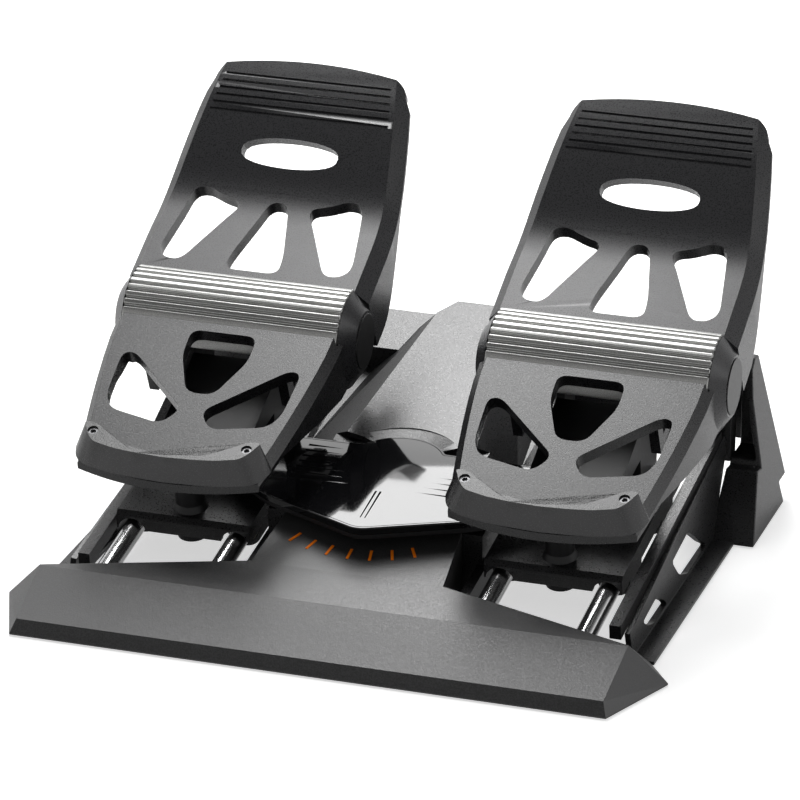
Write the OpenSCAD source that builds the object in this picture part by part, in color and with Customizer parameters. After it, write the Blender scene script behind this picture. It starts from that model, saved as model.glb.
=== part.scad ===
// Flight simulator rudder pedals: a tilted four-rail base, two sliding pedals joined by
// a pivoting rocker, and a toe brake on each pedal.
// The pedals stand on Z = 0. X runs across them, +Y points away from the user.

/* [Rails] */
// Diameter of each slide rail
rail_d = 12; // [10:0.5:13]
// Spacing of the two rails under one pedal
rail_pitch = 64.4; // [60:0.2:66]
// Spacing of the two pedals
track_w = 227.5; // [224:0.5:236]
// Tilt of the rails
rail_slope = 8.5; // [7:0.25:10]
// Height of the rail line at the front edge of the base
rail_lift = 5.5; // [5:0.25:8]
// Travel of each pedal to either side of the middle
travel = 34; // [20:1:34]

/* [Front base] */
// Width over the two tips of the front bar
bar_w = 400; // [390:1:420]
// Depth of the front bar
bar_d = 75; // [68:0.5:76]
// Height of the front bar where the centre plate starts
bar_h = 30; // [26:0.5:32]
// Wall of the base mouldings
base_wall = 3; // [2.5:0.1:3.5]
// Width of the centre plate where it leaves the bar
plate_w = 117; // [100:1:120]
// Rise of the centre plate
plate_slope = 13.2; // [11:0.2:14]
// Width of the chassis tub
tub_w = 132; // [126:1:134]
// Number of marks on the angle scale
mark_count = 7; // [3:2:11]
// Angle between two marks
mark_step = 9.3; // [5:0.1:11]

/* [Rear of the base] */
// Front edge of the base to the back of the rear feet
base_l = 340; // [336:1:350]
// Depth of the rear beam
beam_d = 40; // [34:0.5:42]
// Height of the rear beam's top at its back
beam_h = 90; // [82:0.5:94]
// Width of one rear foot at the floor
foot_w = 28; // [24:0.5:30]
// Length of one rear foot at the floor
foot_l = 88; // [80:1:92]
// Height of the centre housing at its back
housing_h = 97; // [94:0.5:104]
// Width of the centre housing's top at its front
housing_w = 82; // [74:0.5:84]

/* [Rocker] */
// Distance from the front edge to the rocker shaft, along the rails
pivot_s = 178.9; // [176:0.5:184]
// Height of the rocker's top over the rail line
rocker_h = 32; // [31:0.25:34]
// Thickness of the gloss cover
cover_t = 5; // [4:0.25:5.5]
// Thickness of the rocker frame
rocker_frame_t = 3.5; // [3:0.25:4]
// Reach of the pointed front of the rocker
rocker_reach = 78; // [70:0.5:80]
// Radius of the disc at the back of the rocker
disc_r = 29.5; // [26:0.5:31]
// Diameter of the rocker shaft
shaft_d = 14; // [10:0.5:16]

/* [Carriages] */
// Length of a carriage
carriage_l = 126; // [118:1:128]
// Height of a carriage's top over the rail line
carriage_h = 12.4; // [11.8:0.1:13]
// Outer diameter of a slide bushing
bush_d = 16; // [15:0.25:17]
// Length of a slide bushing
bush_l = 24; // [16:1:28]
// Diameter of the pedal post
post_d = 17.5; // [14:0.5:20]
// Diameter of the link pin
pin_d = 7; // [5:0.5:8]

/* [Pedals] */
// Width of the flat of a pedal at its hinge
pedal_w = 137; // [130:0.5:140]
// Width that the bevel adds on each side
bevel_w = 7.7; // [6:0.1:8.5]
// Depth of the bevel on the toe plate
bevel_h = 9.4; // [7:0.1:10]
// Wall of the pedal shells
pedal_wall = 3.2; // [2.6:0.1:3.6]
// Thickness of the pedal plates, seen in their openings
pedal_t = 8; // [5:0.5:9]
// Height of the pedal axle over the rail line
axle_h = 74.7; // [72:0.5:80]
// Distance from the carriage's middle to the pedal axle
axle_s = 60.2; // [56:0.2:62]
// Diameter of the pedal axle
axle_d = 10; // [8:0.5:11]
// Radius of the ribbed hinge band
band_r = 30.7; // [29:0.1:32]
// Number of ribs on the hinge band
rib_count = 8; // [5:1:9]

/* [Heel tray] */
// Slope of the heel tray
heel_slope = 24; // [22:0.5:26]
// Height of the tray's flat over the axle, square to the tray
heel_lift = 22.5; // [21:0.25:24]
// Length of the heel tray from the band to its front
heel_l = 124.5; // [118:0.5:128]
// Height of the heel stop over the tray
stop_h = 10.8; // [8:0.2:12]

/* [Toe plate] */
// Length of the toe plate from the band to its top edge
toe_l = 159.5; // [152:0.5:164]
// Slope of the toe plate's lower part
toe_low_slope = 25.8; // [24:0.2:28]
// Slope of the toe plate's upper part
toe_top_slope = 46.5; // [44:0.5:50]
// Angle by which the top edge leans back again
toe_flare_angle = 8; // [0:0.5:10]
// Width of the flat at the top edge
toe_top_w = 108; // [100:0.5:114]
// Number of grooves near the top edge
groove_count = 6; // [3:1:7]

/* [Hidden] */
$fn = 64;
left = -1;
right = 1;
// Overrun of every cut, clearance of fixed fits and radial clearance of running fits
over = 1;
fit = 0.05;
run_fit = 0.06;
// Gap between parts that pass each other
gap = 0.6;
// Height of the mouldings over the floor, on their rubber feet
foot_proud = 1;
// Small cube that blunts the corners of the faceted mouldings
blunt = 0.8;

// Rails
rail_front = 46;
// Distance from the end of a rail to the back of the base
rail_back = 16;
rail_len = base_l - rail_front - rail_back;
socket_r = rail_d / 2 + base_wall;
socket_l = 26;
swing = atan(travel / (track_w / 2));

// Front bar: corners as shares of half the width, the depth and the height
bar_corner_shares = [[0.894, 0, 0], [1, 0.707, 0], [0.92, 1, 0], [0.88, 0.06, 0.267],
    [0.89, 0.627, 0.8], [0.425, 1, 0.883], [0.29, 1.047, 1]];
plate_y = bar_corner_shares[6][1] * bar_d;
plate_l = 52;
plate_taper = 5;
plate_end_y = plate_y + plate_l;
plate_end_z = bar_h + plate_l * tan(plate_slope);
mark_r = 76;
mark_l = 13;
mark_w = 1.8;
mark_t = 0.4;

// Chassis tub, from the end of the centre plate to the rear beam
tub_h = 17;
tub_end = base_l - beam_d;
guide_w = 6;
guide_lap = 8;
bearing_lip = 6;
bearing_flange_r = shaft_d / 2 + bearing_lip;
bearing_flange_t = 2;
bearing_wall = 2;
bearing_l = 22;
boss_r = shaft_d / 2 + bearing_wall + base_wall;
cover_sheet_t = 2;
cover_inset = 6;

// Side frames
frame_gap = 3;
// Material of a carriage beside its bushings
carriage_side_t = 1.45;
carriage_w = rail_pitch + bush_d + 2 * carriage_side_t;
frame_x = track_w / 2 + carriage_w / 2 + frame_gap;
frame_beam_w = 7;
frame_beam_top = 5;
frame_beam_h = 9;
web_t = 3.5;
web_lean = 8;
web_step = 4;
web_foot_x = frame_x + frame_beam_w + web_step;
strip_w = 18;
strip_t = 2.2;
web_front = 78;
// Windows of a side frame as shares of the base length and of the web's height there
window_shares = [
    [[0.305, 0.62], [0.325, 0.35], [0.36, 0.16], [0.445, 0.12], [0.43, 0.3], [0.39, 0.62]],
    [[0.5, 0.72], [0.53, 0.3], [0.575, 0.1], [0.705, 0.1], [0.67, 0.28], [0.61, 0.72]]];
window_soft = 4;

// Rear beam and feet
beam_drop = 10;
beam_floor = 34;
beam_half = web_foot_x + gap;
foot_lean = 14;
foot_wall = 3.6;
foot_x = beam_half;
// Side outline of a rear foot as shares of its length and of the beam's height
foot_shares = [[0, 0], [0.43, 0.37], [0.53, 0.36], [0.67, 0.79], [0.8, 0.96], [0.9, 1], [1, 0.99],
    [1, 0.14], [0.83, 0.14], [0.83, 0]];

// Centre housing
housing_front_s = 21.6;
housing_rear_half = 26;
housing_tip_half = 17;
housing_tip = 14;
housing_front_h = 63.9;
housing_skirt_h = 57;
housing_behind = 5;
housing_end = base_l + housing_behind;
flank_back = 6;
recess_clear = 1.4;
dish_w = 9;
dish_deep = 2;
dish_h = 28.4;
recess_r = disc_r + recess_clear;
recess_h = rocker_h - cover_t - rocker_frame_t - gap;
relief_h = rocker_h - cover_t - gap;

// Rocker outline beside the pivot: shares of half the track and of the rocker's reach
rocker_shares = [[0, -1], [0.28, -0.84], [0.57, -0.68], [0.8, -0.41], [0.93, -0.24], [1.13, -0.21]];
arm_back = 15;
frame_back = 5;
frame_inset = 1.6;
slot_clear = 1.3;
arm_r = track_w / 2 / cos(swing);
fin_count = 7;
fin_pitch = 6.4;
fin_w = 2.4;
fin_deep = 0.9;
fin_in = 20;
fin_out = 57;
fin_first = -29;
pointer_gap = 2.4;
pointer_w = 0.7;
pointer_near = 35;
pointer_far = 65;
rocker_soft = 7;

// Carriages
carriage_wall = 4;
carriage_foot = 1;
housing_wall = 3;
bush_set = 34;
arch_clear = 2.5;
post_s = -47;
saddle_r = 10.5;
saddle_t = 4;
nut_r = 9;
nut_t = 7;
pin_lip = 1.5;
pin_head_r = pin_d / 2 + pin_lip;
yoke_u = 25.5;
yoke_t = 5;
yoke_wall = 3;
// Canopy of the yoke as shares of the axle's place and height
yoke_shares = [[0.753, 0.819], [-0.32, 0.58], [-0.32, 0.495], [0.45, 0.495]];
eye_wall = 5;
yoke_eye_r = axle_d / 2 + eye_wall;

// Heel tray, measured along the tray from the axle
heel_start = -sqrt(pow(band_r + gap, 2) - pow(heel_lift, 2));
heel_front = heel_start - heel_l;
heel_margin = 1.8;
heel_narrow = 13;
heel_full_share = 0.86;
inner_bevel = 3.5;
heel_bevel_share = 0.65;
heel_rim = 20;
heel_drop_share = 0.725;
// Places of the tray's cross-sections as shares of its length
heel_step_shares = [0, 0.12, 0.25, 0.4, 0.55, heel_drop_share];
heel_hollow_share = 0.8;
heel_end_shares = [0.86, 1.06];
heel_outline_shares = [[0, -1.1], [0.7, -1.1], [0.76, -1], [0.96, -0.82], [2, -0.3], [2, 0.3], [0, 0.3]];
heel_corner = 12;
heel_drop = 0.357;
heel_arc_r = 200;
lug_u = 42;
lug_t = 6;
lug_wall = 4;
lug_r = axle_d / 2 + lug_wall;
rib_v = -52;
// Openings of the tray as shares of half the pedal's width and of the tray's length
heel_side_shares = [[0.09, -0.57], [0.71, -0.245], [0.82, -0.26], [0.8, -0.53], [0.72, -0.62],
    [0.22, -0.68]];
heel_mid_shares = [[-0.3, -0.055], [0.3, -0.055], [0.31, -0.22], [0.13, -0.46], [-0.12, -0.46],
    [-0.29, -0.22]];
heel_soft = 7;
// Heel stop at its foot and its top: shares of the tray's half width and of its length, right half
stop_inner_shares = [[0.744, -0.804], [0.658, -0.819], [0.596, -0.845], [0.373, -0.925], [0, -0.958]];
stop_foot_shares = [[0, -1.018], [0.3, -1.01], [0.5, -1], [0.72, -0.975], [0.81, -0.95],
    [0.86, -0.915], [0.895, -0.8465]];
stop_top_shares = [[0, -0.97], [0.29, -0.962], [0.465, -0.951], [0.66, -0.925], [0.73, -0.88],
    [0.777, -0.828], [0.795, -0.81]];
stop_notch_shares = [[0.8, -0.85], [0, -0.95]];
screw_share = 0.694;
screw_back_share = 0.857;
screw_r = 3.2;
screw_shank_r = 2;
screw_l = 14;
socket_hex_r = 1.8;
seam_drop = 4.6;
stop_soft = 3;

// Toe plate
toe_ring_count = 32;
hollow_share = 0.9;
toe_bend_shares = [0.25, 0.54];
toe_flare_shares = [0.72, 0.95];
toe_skirt = 46;
toe_rim = 12;
toe_skirt_shares = [0.08, 0.48];
toe_narrow_share = 0.22;
toe_arc_r = 280;
toe_corner_r = 9;
toe_trim = 0.5;
ear_r = 18.5;
cap_r = 17;
cap_t = 2.6;
cap_proud = 0.7;
band_wall = 4.2;
band_inset = 0.7;
band_from = 81.2;
band_to = 190;
// Height over the axle, in the tray's frame, down to which the hinge band reaches
band_low = band_r * sin(band_to - heel_slope) - 3 * gap;
rib_end = 158.3;
rib_groove_w = 1.9;
rib_groove_deep = 1.6;
// Openings of the toe plate as shares of half the pedal's width and of the toe's length
toe_side_shares = [[0.36, 0.345], [0.62, 0.43], [0.79, 0.42], [0.9, 0.1], [0.81, 0.055], [0.66, 0.055]];
toe_mid_shares = [[-0.245, 0.035], [0.255, 0.035], [0.25, 0.12], [0.11, 0.39], [-0.06, 0.39],
    [-0.225, 0.12]];
toe_soft = 8;
window_share = 0.25;
lens_share = 0.605;
groove_share = 0.85;
lens_w = 62;
lens_h = 26;
groove_w = 1.6;
groove_deep = 1.3;
groove_first = 12.5;
groove_pitch = 5.1;
groove_inset = 3;

// Small inner parts, with places as shares of half the width and of the length of the base
pad_shares = [[0.78, 0.11], [0, 0.62]];
screw_place_shares = [[0.6, 0.11], [0.3, 0.11]];
board_l = 70;
board_w = 44;
board_t = 1.6;
board_h = 10;
sensor_r = 9;
sensor_t = 8;
brake_sensor_r = 10;
spring_wall = 2.2;
gland_r = 6;
gland_l = 3;
pad_r = 9;
bolt_r = 4;
bolt_t = 2.4;
bolt_shank_r = 1.6;
bolt_l = 6;

// Places that follow from the sizes above
half_track = track_w / 2;
axle_y = rail_y(pivot_s + axle_s, axle_h);
housing_front_y = rail_y(pivot_s + housing_front_s, rocker_h - cover_t);
axle_z = rail_z(pivot_s + axle_s, axle_h);
barrel_r = band_r - band_inset;
toe_start = barrel_r * [cos(band_from), sin(band_from)];
toe_tip = toe_at(toe_ring_count);
// The toe's free end, right half: a flat arc that ends in rounded corners, then the sides left free
toe_corner_x = toe_top_w / 2 + bevel_w - toe_corner_r;
toe_corner_y = sqrt(pow(toe_arc_r - toe_corner_r, 2) - pow(toe_corner_x, 2)) - toe_arc_r;
toe_turn = asin(toe_corner_x / (toe_arc_r - toe_corner_r));
toe_outline = concat(
    [for (k = [0:5]) let(a = k * toe_turn / 5) [toe_arc_r * sin(a), toe_arc_r * (cos(a) - 1)]],
    [for (k = [1:6]) let(a = toe_turn + k * (90 - toe_turn) / 6)
        [toe_corner_x + toe_corner_r * sin(a), toe_corner_y + toe_corner_r * cos(a)]],
    [[pedal_w, -toe_l], [0, -2 * toe_l]]);
tip_slope = toe_slope(toe_l);
// Back-to-front size, used to centre the object on its own box
overall_d = axle_y + toe_tip[0] + toe_rim * sin(tip_slope) - toe_trim * cos(tip_slope);

// A point of the rail frame, s along the rails and h square to them, as base Y and Z
function rail_y(s, h) = s * cos(rail_slope) - h * sin(rail_slope);
function rail_z(s, h) = rail_lift + s * sin(rail_slope) + h * cos(rail_slope);

// Smooth step from 0 to 1 between two shares
function blend(x, span) =
    let(k = max(0, min(1, (x - span[0]) / (span[1] - span[0])))) k * k * (3 - 2 * k);

// Points of an outline given as shares of two sizes
function sized(shares, a, b) = [for (p = shares) [p[0] * a, p[1] * b]];

// The same outline with its left half added
function both(points) = concat(points, [for (i = [len(points) - 1:-1:0])
    if (points[i][0] > 0) [-points[i][0], points[i][1]]]);

// A closed outline with each corner rounded, starting at a distance from the corner
function soft(points, reach, steps = 6) = [for (i = [0:len(points) - 1])
    let(c = points[i], a = points[(i + len(points) - 1) % len(points)], b = points[(i + 1) % len(points)],
        ra = min(reach, 0.45 * norm(a - c)), rb = min(reach, 0.45 * norm(b - c)),
        pa = c + (a - c) * ra / norm(a - c), pb = c + (b - c) * rb / norm(b - c))
    for (k = [0:steps]) let(t = k / steps) pa * pow(1 - t, 2) + c * 2 * t * (1 - t) + pb * pow(t, 2)];

// Slope of the toe plate at a distance from its start, and the point there
function toe_slope(t) = toe_low_slope + (toe_top_slope - toe_low_slope) * blend(t / toe_l, toe_bend_shares)
    - toe_flare_angle * blend(t / toe_l, toe_flare_shares);
function toe_at(i) = i == 0 ? toe_start
    : let(step = toe_l / toe_ring_count, a = toe_slope((i - 0.5) * step))
        toe_at(i - 1) + step * [cos(a), sin(a)];

// Half width of the toe plate's flat and depth of its side walls, at a share of its length
function toe_half(k) = pedal_w / 2 - (pedal_w - toe_top_w) / 2
    * pow(max(0, k - toe_narrow_share) / (1 - toe_narrow_share), 1.6);
function toe_deep(k) = toe_rim + (toe_skirt - toe_rim) * (1 - blend(k, toe_skirt_shares));

// Half width of the heel tray's flat at a share of its length from the hinge
function heel_half(k) = pedal_w / 2 - heel_margin
    - heel_narrow * pow(max(0, k) / heel_full_share, 1.5);
function heel_deep(k) = heel_rim - stop_h + max(0, heel_drop_share - k) * heel_l * heel_drop;

// Frames
module in_base() { translate([0, -overall_d / 2, 0]) children(); }
module on_rails(s = 0) {
    in_base() translate([0, 0, rail_lift]) rotate([rail_slope, 0, 0]) translate([0, s, 0]) children();
}
module on_carriage(side) { on_rails(pivot_s) translate([side * half_track, 0, 0]) children(); }
module at_axle(side) { in_base() translate([side * half_track, axle_y, axle_z]) children(); }
module on_tray(side) { at_axle(side) rotate([heel_slope, 0, 0]) children(); }

// Outline in Y and Z, drawn out to both sides of X = 0
module across(w) { rotate([90, 0, 90]) linear_extrude(w, center = true) children(); }

// Closed solid through a row of like outlines
module loft(rings) {
    n = len(rings[0]);
    last = len(rings) - 1;
    polyhedron(
        points = [for (ring = rings) each ring],
        faces = concat(
            [[for (i = [0:n - 1]) i]],
            [for (k = [0:last - 1], i = [0:n - 1]) let(j = (i + 1) % n)
                each [[k * n + j, k * n + i, (k + 1) * n + i],
                    [k * n + j, (k + 1) * n + i, (k + 1) * n + j]]],
            [[for (i = [n - 1:-1:0]) last * n + i]]));
}

// Convex moulding through corners, mirrored in X
module mould(corners) {
    hull() for (p = corners, m = [-1, 1])
        translate([m * (p[0] - blunt / 2) - blunt / 2, p[1], p[2]]) cube(blunt);
}

// Cross-section of a pedal shell: half width of the flat, bevel and depth
function pedal_ring(half, bw, bh, deep) = [[-half - bw, -deep], [-half - bw, -bh], [-half, 0],
    [half, 0], [half + bw, -bh], [half + bw, -deep]];

// The hollow under it: a plate is left over it and a wall to either side
function hollow_ring(half, bw, deep) = [for (p = pedal_ring(half + bw - pedal_wall - inner_bevel,
    inner_bevel, inner_bevel, deep + over - pedal_t)) [p[0], p[1] - pedal_t]];

// Front base
function bar_corners(inset) = [for (p = bar_corner_shares)
    [p[0] * (bar_w / 2 - 2 * inset), inset + p[1] * (bar_d - 2 * inset),
        foot_proud + p[2] * (bar_h - foot_proud) - inset - (inset > 0 && p[2] == 0 ? over : 0)]];
function plate_corners(inset) = [[plate_w / 2 - inset, plate_y / 2, foot_proud - 2 * inset],
    [plate_w / 2 - plate_taper - inset, plate_end_y + inset, foot_proud - 2 * inset],
    [plate_w / 2 - inset, plate_y - inset, bar_h - inset],
    [plate_w / 2 - plate_taper - inset, plate_end_y + inset, plate_end_z - inset]];

module front_base() {
    color("#2e2f31") in_base() difference() {
        union() {
            difference() {
                union() {
                    mould(bar_corners(0));
                    mould(plate_corners(0));
                }
                mould(bar_corners(base_wall));
                mould(plate_corners(base_wall));
            }
            intersection() {
                mould(bar_corners(blunt));
                rail_sockets(rail_front - base_wall, socket_l + 2 * base_wall);
            }
        }
        rail_holes(rail_front);
        guide_beams(gap);
        translate([-bar_w / 2, plate_end_y, -over]) cube([bar_w, bar_d, bar_w]);
    }
}

// Tubes and holes along the four rails, in base coordinates
module along_rails(s) {
    for (m = [-1, 1], n = [-1, 1])
        translate([0, 0, rail_lift]) rotate([rail_slope, 0, 0])
            translate([m * half_track + n * rail_pitch / 2, s, 0]) rotate([-90, 0, 0]) children();
}
module rail_sockets(s, l) { along_rails(s) cylinder(r = socket_r, h = l); }
module rail_holes(s) { along_rails(s) cylinder(r = rail_d / 2 + fit, h = rail_len); }

// Seven marks lying on the centre plate, fanned out about the rocker shaft
module scale_marks() {
    mark_y = rail_y(pivot_s, rocker_h);
    color("#e8792a") in_base() translate([0, plate_y, bar_h + blunt]) rotate([plate_slope, 0, 0])
        translate([0, (mark_y - plate_y) / cos(plate_slope), 0])
            for (i = [0:mark_count - 1]) rotate([0, 0, (i - (mark_count - 1) / 2) * mark_step])
                translate([-mark_w / 2, -mark_r - mark_l, 0]) cube([mark_w, mark_l, mark_t]);
}

// Chassis tub under the rocker and the housing, with a guide beam beside each inner rail
module chassis_tub() {
    color("#232426") in_base() difference() {
        union() {
            difference() {
                across(tub_w) tub_side(plate_end_y, 0);
                across(tub_w - 2 * base_wall) tub_side(plate_end_y + base_wall, base_wall);
            }
            shaft_boss(boss_r, over);
            guide_beams(0);
        }
        shaft_boss(shaft_d / 2 + bearing_wall + fit, 2 * over);
        translate([-cover_half() - gap, plate_end_y - over, 0])
            cube([2 * (cover_half() + gap), base_wall + 2 * over, foot_proud + cover_sheet_t + gap]);
    }
}
function cover_half() = plate_w / 2 - plate_taper - base_wall - gap;
module guide_beams(extra) {
    for (m = [-1, 1]) translate([m * tub_w / 2, 0, 0]) across(guide_w + 2 * extra)
        polygon([[plate_y + blunt, foot_proud - extra], [plate_end_y + guide_lap, foot_proud - extra],
            [plate_end_y + guide_lap, rail_z(plate_end_y, 0) + extra],
            [plate_y + blunt, rail_z(plate_y, 0) + extra]]);
}
module tub_side(front, inset) {
    floor_z = foot_proud - (inset > 0 ? over : 0);
    polygon([[front, floor_z], [tub_end - inset, floor_z],
        [tub_end - inset, rail_z(tub_end, tub_h - inset)], [front, rail_z(front, tub_h - inset)]]);
}
module shaft_boss(r, extra) {
    translate([0, 0, rail_lift]) rotate([rail_slope, 0, 0])
        translate([0, pivot_s, tub_h - bearing_l - extra / 2])
            cylinder(r = r, h = bearing_l + (extra > over ? extra : 0));
}

module bottom_cover() {
    half = cover_half();
    w = bar_corner_shares[0][0] * bar_w - 2 * cover_inset - 4 * base_wall;
    l = bar_d - 2 * cover_inset - 2 * base_wall;
    tub_l = tub_end - l - cover_inset - base_wall;
    color("#1c1c1e") in_base() translate([0, 0, foot_proud]) {
        translate([-w / 2, cover_inset + base_wall, 0]) cube([w, l, cover_sheet_t]);
        translate([-half, cover_inset + base_wall + l, 0])
            cube([2 * half, tub_l - base_wall - gap, cover_sheet_t]);
    }
}

// Beam beside the outer rail, leaning web with windows and a strip on the floor
module side_frame(side) {
    web_end = base_l - foot_l;
    color("#2a2b2d") in_base() mirror([side < 0 ? 1 : 0, 0, 0]) union() {
        translate([0, 0, rail_lift]) rotate([rail_slope, 0, 0])
            translate([frame_x, web_front, frame_beam_top - frame_beam_h])
                cube([frame_beam_w, tub_end - web_front, frame_beam_h]);
        translate([web_foot_x, 0, foot_proud]) rotate([0, -web_lean, 0]) rotate([90, 0, 90])
            linear_extrude(web_t) difference() {
                polygon([[web_front, 0], [web_end, 0], [tub_end, web_top(tub_end) - beam_drop],
                    [tub_end, web_top(tub_end)], [web_front, web_top(web_front)]]);
                for (w = window_shares) polygon(soft([for (p = w)
                    [p[0] * base_l, p[1] * web_top(p[0] * base_l)]], window_soft));
            }
        translate([web_foot_x - web_t / 2, bar_d + blunt, foot_proud])
            cube([strip_w, web_end - bar_d - blunt, strip_t]);
    }
}
function web_top(y) = rail_z(y / cos(rail_slope), 0) - foot_proud;

// Box beam across the back that holds the ends of the four rails
module rear_beam() {
    color("#2e2f31") in_base() difference() {
        across(2 * beam_half) difference() {
            polygon([[tub_end, beam_floor], [base_l, beam_floor], [base_l, beam_h],
                [tub_end, beam_h - beam_drop]]);
            polygon([[tub_end + 4 * base_wall, beam_floor - over], [base_l - base_wall, beam_floor - over],
                [base_l - base_wall, beam_h - base_wall],
                [tub_end + 4 * base_wall, beam_h - beam_drop - base_wall]]);
        }
        along_rails(rail_front) cylinder(r = rail_d / 2 + fit, h = rail_len);
    }
}

// Rear foot with a leaning outer wall and a pocket open to the front
module rear_foot(side) {
    outline = sized(foot_shares, foot_l, beam_h - foot_proud);
    color("#2e2f31") in_base() mirror([side < 0 ? 1 : 0, 0, 0]) translate([0, base_l - foot_l, foot_proud])
        difference() {
            translate([foot_x + foot_w / 2, 0, 0]) across(foot_w) polygon(outline);
            translate([foot_x + foot_w, -over, 0]) rotate([0, -foot_lean, 0])
                translate([0, 0, -beam_h / 2]) cube([foot_w * 2, foot_l + 2 * over, beam_h * 2]);
            intersection() {
                translate([foot_x - over, -over, beam_h * 0.4])
                    cube([foot_w, foot_l * 0.82, beam_h * 0.43]);
                translate([foot_x + foot_w - foot_wall, -over, 0]) rotate([0, -foot_lean, 0])
                    translate([-foot_w * 2, 0, -over]) cube([foot_w * 2, foot_l, beam_h * 1.2]);
            }
        }
}

// Housing behind the rocker: a sloping top with flared flanks
function housing_top(y) = housing_h
    - (housing_end - y) * (housing_h - housing_front_h) / (housing_end - housing_front_y);
function housing_corners(inset) = let(front = housing_front_y) [
    [housing_w / 2 - inset, front + inset, housing_top(front) - inset],
    [housing_rear_half - inset, housing_end - housing_tip - inset,
        housing_top(housing_end - housing_tip) - inset],
    [housing_tip_half - inset, housing_end - inset, housing_h - inset],
    [tub_w / 2 - inset, front + flank_back + inset, rail_z(front, tub_h) + over - inset],
    [tub_w / 2 - inset, tub_end - inset, housing_skirt_h - inset],
    [housing_tip_half - inset, housing_end - inset, beam_h + blunt - inset],
    [housing_w / 2 - inset, front + inset, rail_z(front, tub_h) - inset * 3]];
module centre_housing() {
    color("#2e2f31") in_base() difference() {
        mould(housing_corners(0));
        mould(housing_corners(base_wall));
        across(2 * bar_w) polygon([[0, 0], [tub_end, 0], [tub_end, rail_z(tub_end, tub_h)],
            [0, rail_z(0, tub_h)]]);
        across(2 * bar_w) polygon([[tub_end - over, 0], [base_l * 2, 0],
            [base_l * 2, beam_h + base_l * beam_drop / beam_d], [base_l, beam_h],
            [tub_end, beam_h - beam_drop], [tub_end - over, beam_h - beam_drop]]);
        translate([0, 0, rail_lift]) rotate([rail_slope, 0, 0]) translate([0, pivot_s, 0]) {
            translate([0, 0, recess_h]) cylinder(r = recess_r, h = bar_h);
            translate([0, 0, dish_h]) cylinder(r1 = recess_r, r2 = recess_r + dish_w, h = dish_deep);
            translate([0, 0, dish_h + dish_deep]) cylinder(r = recess_r + dish_w, h = bar_h);
            for (a = [-swing, swing]) rotate([0, 0, a]) translate([-half_track, -half_track, relief_h])
                cube([track_w, half_track + arm_back + gap, bar_h]);
        }
    }
}

module rail(side, place) {
    color("#b9bcc0") on_rails(rail_front) translate([side * half_track + place * rail_pitch / 2, 0, 0])
        rotate([-90, 0, 0]) cylinder(d = rail_d, h = rail_len);
}

// Three small round sets: pads under the base, screws of the bottom cover
module under_base(places, z) {
    for (p = places, m = [-1, 1]) in_base() translate([m * p[0] * bar_w / 2, p[1] * base_l, z]) children();
}
module rubber_feet() {
    color("#111111") {
        under_base(pad_shares, 0) cylinder(r = pad_r, h = foot_proud);
        for (m = [-1, 1]) in_base() translate([m * (foot_x + foot_w / 2), base_l - foot_l / 2, 0])
            cylinder(r = pad_r, h = foot_proud);
    }
}
module base_screws() {
    color("#3a3a3c") under_base(screw_place_shares, foot_proud + cover_sheet_t) {
        cylinder(r = bolt_r, h = bolt_t);
        cylinder(r = bolt_shank_r, h = bolt_l);
    }
}

// Flanged bearing in the tub, the rocker shaft and the parts that read and centre it
module at_pivot(h) { on_rails(pivot_s) translate([0, 0, h]) children(); }
module shaft_bearing() {
    color("#c9b46a") at_pivot(0) difference() {
        union() {
            translate([0, 0, tub_h - bearing_l]) cylinder(r = shaft_d / 2 + bearing_wall, h = bearing_l);
            translate([0, 0, tub_h]) cylinder(r = bearing_flange_r, h = bearing_flange_t);
        }
        translate([0, 0, tub_h - bearing_l - over])
            cylinder(r = shaft_d / 2 + run_fit, h = bearing_l + bearing_flange_t + 2 * over);
    }
}
module rocker_shaft() {
    top = rocker_h - cover_t;
    color("#9a9da1") at_pivot(tub_h - bearing_l) cylinder(d = shaft_d, h = top - tub_h + bearing_l);
}
module centring_spring() {
    color("#8d9094") at_pivot(tub_h - bearing_l) difference() {
        cylinder(r = boss_r + fit + spring_wall, h = bearing_l - base_wall - gap);
        translate([0, 0, -over]) cylinder(r = boss_r + fit, h = bearing_l);
    }
}
module turn_sensor() {
    color("#3c5a78") at_pivot(tub_h - bearing_l - sensor_t) cylinder(r = sensor_r, h = sensor_t - fit);
}
module circuit_board() {
    color("#1f5a38") in_base() translate([-board_l / 2, tub_end - base_wall - board_w - gap, board_h])
        cube([board_l, board_w, board_t]);
    low = foot_proud + cover_sheet_t;
    color("#1f5a38") in_base() for (m = [-1, 1]) translate([m * board_l / 3, tub_end - board_w / 2, low])
        cylinder(r = bolt_r, h = board_h - low);
}
module cable_gland() {
    color("#151515") in_base() translate([0, base_l, beam_floor + gland_r * 2]) rotate([-90, 0, 0])
        difference() {
            cylinder(r = gland_r, h = gland_l);
            translate([0, 0, -over]) cylinder(r = gland_r / 2, h = gland_l + 2 * over);
        }
}

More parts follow.
